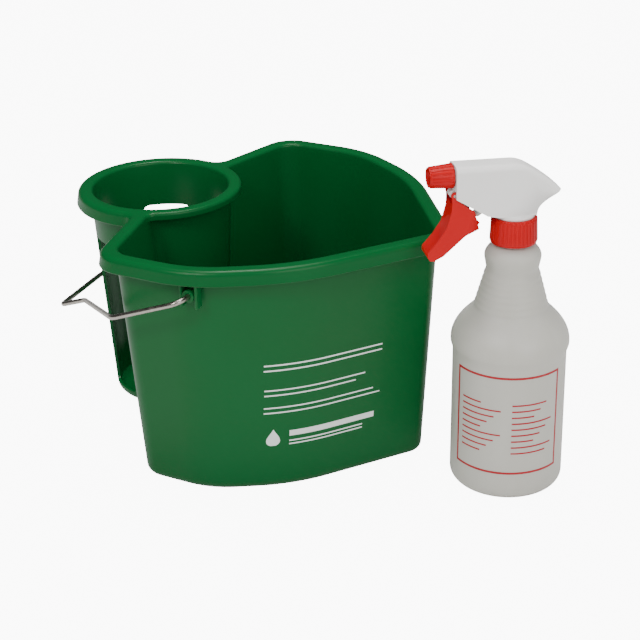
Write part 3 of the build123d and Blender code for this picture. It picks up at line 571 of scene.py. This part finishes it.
def ear(way):
    """Boss with a blind round hole for the wire, between two ribs that hang from the rim."""
    out, back = WALL_Y + EAR_STAND, WALL_Y - 1.5
    parts = []
    for x in (-6.5, 6.5):
        lo = [PIVOT_X + x - 1.2, min(way * back, way * out), PIVOT_Z - 9.5]
        hi = [PIVOT_X + x + 1.2, max(way * back, way * out), PAIL_HEIGHT - 2.0]
        parts.append(block(lo, hi))
    ribs = bevelled(solid("ear_ribs", parts), 1.0)
    t = np.linspace(0, 2 * pi, 48, endpoint=False)
    y = np.array([back, out - 0.6, out - 0.15, out, out, out - 0.3, out - 5.5, out - 5.5])
    r = np.array([5.0, 5.0, 4.85, 4.4, 2.4, 2.15, 2.15, 0.0])
    rows = np.stack([PIVOT_X + r[:, None] * np.cos(t), way * y[:, None] + 0 * t,
                     PIVOT_Z + r[:, None] * np.sin(t)], -1)
    boss = solid("ear_boss", [band(rows), fan(rows[0])])
    for piece, label in ((ribs, "ear_ribs"), (boss, "ear_boss")):
        piece.name = f"{label}_{'rear' if way > 0 else 'front'}"
        dress(piece, "pail", "pail_green", pail_plastic, "pail_shell")


ear(1)
ear(-1)


# ---------------------------------------------------------------- bail
BAIL_REST_ANGLE, BAIL_CLEARANCE = 21.0, 1.0
BAIL_HALF_WIDTH, BAIL_KNEE = 161.0, 64.0
GRIP_HALF_WIDTH, GRIP_START, GRIP_CORNER_REACH = 89.0, 147.0, 174.0
BAIL_RADII, BOW_RADIUS = (9.0, 14.0, 12.0, 5.0), 120.0


def grip_reach():
    """Pivot to the grip's middle, before its bow is rounded: it just clears the cup's rim."""
    rim = hypot(PIVOT_X - CUP_X + CUP_RIM_RADIUS, PAIL_HEIGHT - SKIRT_HEIGHT - PIVOT_Z)
    middle = rim + WIRE_RADIUS + BAIL_CLEARANCE
    bend = atan((middle - GRIP_CORNER_REACH) / (GRIP_HALF_WIDTH - 1.0))
    return middle + BOW_RADIUS * (1 / cos(bend) - 1)


def tube(path, radius, count=20):
    """Round wire along a flat path: circles in the plane of the path's normal and side."""
    tangent = unit(np.gradient(path, axis=0))
    normal = unit(np.cross(path[1] - path[0], path[len(path) // 2] - path[0])[None, :])
    across = np.cross(tangent, normal)
    t = np.linspace(0, 2 * pi, count, endpoint=False)
    ring = np.cos(t)[None, :, None] * across[:, None, :] + np.sin(t)[None, :, None] * normal[:, None, :]
    return path[:, None, :] + radius * ring


def bail():
    """The wire's middle line is a chain of corners in its own plane, each rounded."""
    reach = grip_reach()
    half = [(0.0, WALL_Y + 0.9), (0.0, BAIL_HALF_WIDTH - 1.5), (BAIL_KNEE, BAIL_HALF_WIDTH),
            (GRIP_START, GRIP_HALF_WIDTH + 1.0), (GRIP_CORNER_REACH, GRIP_HALF_WIDTH - 1.0), (reach, 0.0)]
    corners = np.array(half + [(r, -y) for r, y in half[-2::-1]])[:, None, :]
    radii = (*BAIL_RADII, BOW_RADIUS, *BAIL_RADII[::-1])
    line = [corners[0]]
    for i, r in enumerate(radii, start=1):
        line.append(rounded(corners[i - 1], corners[i], corners[i + 1], r, 9)[0])
    line.append(corners[-1])
    flat = np.concatenate(line)
    lean = radians(BAIL_REST_ANGLE)
    path = np.stack([PIVOT_X - flat[:, 0] * cos(lean), flat[:, 1], PIVOT_Z - flat[:, 0] * sin(lean)], -1)
    rows = tube(path, WIRE_RADIUS)
    return solid("bail", [band(rows), fan(rows[0]), fan(rows[-1])])


dress(bail(), "bail", "bail_steel", zinc_wire, "bail_wire")


# ---------------------------------------------------------------- bottle
BOTTLE_X, BODY_RADIUS, BODY_TOP_RADIUS = 214.0, 44.5, 44.0
FOOT_ROUND, FOOT_LAND, PUSH_UP, BODY_TOP_Z = 8.5, 3.0, 3.0, 113.0
BEAD_RADIUS, BEAD_Z, SHOULDER_Z, SHOULDER_TOP_RADIUS = 45.8, 121.5, 150.0, 28.4
WAIST_Z, WAIST_NECK_RADIUS, BULGE_Z, BULGE_RADIUS = 181.0, 20.0, 191.5, 21.6
FINISH_RADIUS, FINISH_Z, NECK_TOP_Z, NECK_BORE, BOTTLE_WALL = 13.4, 200.0, 217.0, 10.9, 1.3
RINGS, RING_DEPTH = 6, 0.32


def hermite(p, q, dp, dq, count):
    """Cubic from p to q that leaves along dp and arrives along dq."""
    t = np.linspace(0, 1, count)[1:, None]
    p, q, dp, dq = (np.array(v, float) for v in (p, q, dp, dq))
    return ((2 * t**3 - 3 * t**2 + 1) * p + (t**3 - 2 * t**2 + t) * dp
            + (3 * t**2 - 2 * t**3) * q + (t**3 - t**2) * dq)


def bottle_profile():
    """(radius, height) up the bottle's outside from its foot's inner edge to its neck."""
    foot = BODY_RADIUS - FOOT_ROUND
    a = np.linspace(-pi / 2, 0, 10)
    base = np.stack([foot + FOOT_ROUND * np.cos(a), FOOT_ROUND * (1 + np.sin(a))], -1)
    body = np.stack([np.linspace(BODY_RADIUS, BODY_TOP_RADIUS, 15),
                     np.linspace(FOOT_ROUND, BODY_TOP_Z, 15)], -1)[1:]
    bead = hermite((BODY_TOP_RADIUS, BODY_TOP_Z), (BEAD_RADIUS, BEAD_Z), (0, 9), (0, 9), 10)
    knee = (SHOULDER_TOP_RADIUS + 7.6, SHOULDER_Z - 8.2)
    fall = hermite((BEAD_RADIUS, BEAD_Z), knee, (0, 26), (-13.5, 14), 14)
    join = hermite(knee, (SHOULDER_TOP_RADIUS, SHOULDER_Z), (-8, 8.6), (-6.2, 8.6), 8)
    z = np.linspace(SHOULDER_Z, WAIST_Z, 60)[1:]
    k = (z - SHOULDER_Z) / (WAIST_Z - SHOULDER_Z)
    ripple = RING_DEPTH * (1 - np.cos(2 * pi * RINGS * np.clip(k / 0.93, 0, 1))) / 2
    cone = np.stack([SHOULDER_TOP_RADIUS + (WAIST_NECK_RADIUS - SHOULDER_TOP_RADIUS) * k + ripple, z], -1)
    bulge = hermite((WAIST_NECK_RADIUS, WAIST_Z), (BULGE_RADIUS, BULGE_Z), (0, 7), (0, 9), 10)
    ledge = hermite((BULGE_RADIUS, BULGE_Z), (FINISH_RADIUS, FINISH_Z + 1), (0, 12), (-9, 0.4), 12)
    neck = np.array([[FINISH_RADIUS, z] for z in (203.0, 208.0, NECK_TOP_Z - 0.4)]
                    + [[FINISH_RADIUS - 0.4, NECK_TOP_Z]])
    return np.concatenate([base, body, bead, fall, join, cone, bulge, ledge, neck])


def bottle():
    """Outside and inside turned round one axis; the inside is the wall's thickness in."""
    out = bottle_profile()
    t = np.linspace(0, 1, 8)
    dome_r = (BODY_RADIUS - FOOT_ROUND - FOOT_LAND) * t
    dome = np.stack([dome_r, PUSH_UP * (1 - t**2)], -1)
    inner = out[:-4].copy()
    inner[:, 0] = np.maximum(inner[:, 0] - BOTTLE_WALL, NECK_BORE)
    inner[:9, 1] += BOTTLE_WALL * np.linspace(1, 0, 9)
    inner = np.concatenate([dome + (0, BOTTLE_WALL), inner, [[NECK_BORE, NECK_TOP_Z]]])
    profile = np.concatenate([dome, out, inner[::-1]])
    return solid("bottle", [band(circle(profile[:, 0], profile[:, 1], BOTTLE_X, 144))], sharp=50.0)


dress(bottle(), "bottle", "bottle_natural", bottle_plastic, "spray_bottle")


def bottle_print():
    """Thin ink strips on the bottle: a border of four lines and rows of plain bars."""
    facing, reach = radians(-70.0), radians(58.5)
    line, ink = 1.9, 0.06
    z0, z1 = 24.5, 108.6
    strips = [(-reach, reach, z0, z0 + line), (-reach, reach, z1 - line, z1)]
    side_arc = line / BODY_RADIUS
    strips += [(-reach, -reach + side_arc, z0, z1), (reach - side_arc, reach, z0, z1)]
    for column in (-1, 1):
        for row in range(9):
            z = 84 - row * 5.2
            start = -50 if column < 0 else 5
            length = 44 - 7 * ((row * 5 + column) % 4)
            strips.append((radians(start), radians(start + length), z, z + 1.3))
    parts = []
    for a, b, low, high in strips:
        t = facing + np.linspace(a, b, 33)
        z = np.array([low, high, high, low])
        wall = BODY_RADIUS + (BODY_TOP_RADIUS - BODY_RADIUS) * (z - FOOT_ROUND) / (BODY_TOP_Z - FOOT_ROUND)
        r = wall + np.array([ink, ink, -ink, -ink])
        rows = np.stack([BOTTLE_X + np.outer(np.cos(t), r), np.outer(np.sin(t), r), np.tile(z, (33, 1))], -1)
        parts += [band(rows), fan(rows[0]), fan(rows[-1])]
    return solid("bottle_print", parts, weld=0.0005)


dress(bottle_print(), "bottle", "sprayer_red", red_ink)


# ---------------------------------------------------------------- spray head
for node, body, slot, material in (
        ("screw_collar", "collar", "sprayer_red", red_plastic),
        ("nozzle_cap", "nozzle", "sprayer_red", red_plastic),
        ("trigger", "trigger_lever", "sprayer_red", red_plastic),
        ("pump_body", "head", "sprayer_white", white_plastic),
        ("sprayer_shroud", "head", "sprayer_white", white_plastic)):
    smoothed(node, body, slot, material)
for names, material in ((("tube_holder", "dip_tube", "swirl_core", "piston"), natural_plastic),
                        (("neck_gasket", "nozzle_seal", "piston_ring"), seal_rubber),
                        (("inlet_ball", "outlet_ball", "trigger_pin", "return_spring"), stainless)):
    for node in names:
        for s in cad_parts[node].material_slots:
            s.material = material


# ---------------------------------------------------------------- stage, light, camera
def sheet(name, low, high, height, material):
    """Flat rectangle at a height, in metres, between two corners."""
    (x0, y0), (x1, y1) = low, high
    corners = [(x0, y0, height), (x1, y0, height), (x1, y1, height), (x0, y1, height)]
    mesh = bpy.data.meshes.new(name)
    mesh.from_pydata(corners, [], [(0, 1, 2, 3)])
    mesh.materials.append(material)
    piece = bpy.data.objects.new(name, mesh)
    bpy.context.scene.collection.objects.link(piece)


def paper_shader():
    """Seamless white paper, matt, over-lit as in a studio: seen directly it is near white."""
    m = bpy.data.materials.new("white backdrop paper")
    m.use_nodes = True
    tree = m.node_tree
    tree.nodes.clear()
    place = add(tree, "ShaderNodeTexCoord").outputs["Object"]
    fibre = add(tree, "ShaderNodeTexNoise", {"Vector": place, "Scale": 3.0}).outputs["Fac"]
    tint = add(tree, "ShaderNodeMix", {"Factor": fibre, "A": hex_colour("E4E4E3"), "B": hex_colour("E8E8E7")},
               data_type="RGBA")
    matt = add(tree, "ShaderNodeBsdfDiffuse", {"Color": tint.outputs[2]})
    glow = add(tree, "ShaderNodeEmission", {"Color": hex_colour("FFFFFF"), "Strength": 16.0})
    seen = add(tree, "ShaderNodeLightPath").outputs["Is Camera Ray"]
    part = add(tree, "ShaderNodeMath", {0: seen, 1: 0.6}, operation="MULTIPLY")
    both = add(tree, "ShaderNodeMixShader", {"Fac": part.outputs[0], 1: matt.outputs[0], 2: glow.outputs[0]})
    add(tree, "ShaderNodeOutputMaterial", {"Surface": both.outputs[0]})
    return m


sheet("floor", (-30, -30), (30, 30), -0.0005, paper_shader())


def studio():
    """Bright white to look at, soft light on the object, and a dim room in its gloss."""
    world = bpy.data.worlds.new("studio")
    bpy.context.scene.world = world
    world.use_nodes = True
    tree = world.node_tree
    tree.nodes.clear()
    path = add(tree, "ShaderNodeLightPath")
    base = add(tree, "ShaderNodeMath", {0: path.outputs["Is Glossy Ray"], 1: -0.87, 2: 0.95},
               operation="MULTIPLY_ADD")
    level = add(tree, "ShaderNodeMath", {0: path.outputs["Is Camera Ray"], 1: 9.0, 2: base.outputs[0]},
                operation="MULTIPLY_ADD")
    light = add(tree, "ShaderNodeBackground", {"Color": hex_colour("F6F7F8"), "Strength": level.outputs[0]})
    add(tree, "ShaderNodeOutputWorld", {"Surface": light.outputs[0]})


studio()


def softbox(name, place, aim, size, power):
    """Rectangular area light turned to face a point, in metres and watts."""
    data = bpy.data.lights.new(name, "AREA")
    data.shape, data.size, data.size_y, data.energy = "RECTANGLE", size[0], size[1], power
    lamp = bpy.data.objects.new(name, data)
    lamp.location = place
    lamp.rotation_euler = (Vector(aim) - Vector(place)).to_track_quat("-Z", "Y").to_euler()
    bpy.context.scene.collection.objects.link(lamp)


softbox("key", (-0.1, -1.5, 1.5), (0, 0, 0.1), (0.5, 0.4), 13)
softbox("fill", (1.5, -0.9, 1.0), (0.05, 0, 0.1), (0.8, 0.8), 10)
softbox("top", (0.0, 0.1, 1.8), (0, 0, 0.05), (0.6, 0.5), 18)

# The camera stands to the front right, above the rims, and looks down on the pair.
CAMERA_PLACE = (0.5800, -1.0067, 0.6442)
TURN, PITCH, ROLL = radians(-27.84), radians(25.43), radians(-1.24)
data = bpy.data.cameras.new("camera")
data.sensor_width, data.lens = 36.0, 85.98
data.dof.use_dof = False
data.clip_start, data.clip_end = 0.05, 60.0
camera = bpy.data.objects.new("camera", data)
right = Vector((cos(TURN), -sin(TURN), 0))
ahead = Vector((sin(TURN) * cos(PITCH), cos(TURN) * cos(PITCH), -sin(PITCH)))
above = right.cross(ahead)
x_axis = right * cos(ROLL) + above * sin(ROLL)
y_axis = above * cos(ROLL) - right * sin(ROLL)
turned = Matrix((x_axis, y_axis, -ahead)).transposed().to_4x4()
camera.matrix_world = Matrix.Translation(CAMERA_PLACE) @ turned
bpy.context.scene.collection.objects.link(camera)
bpy.context.scene.camera = camera
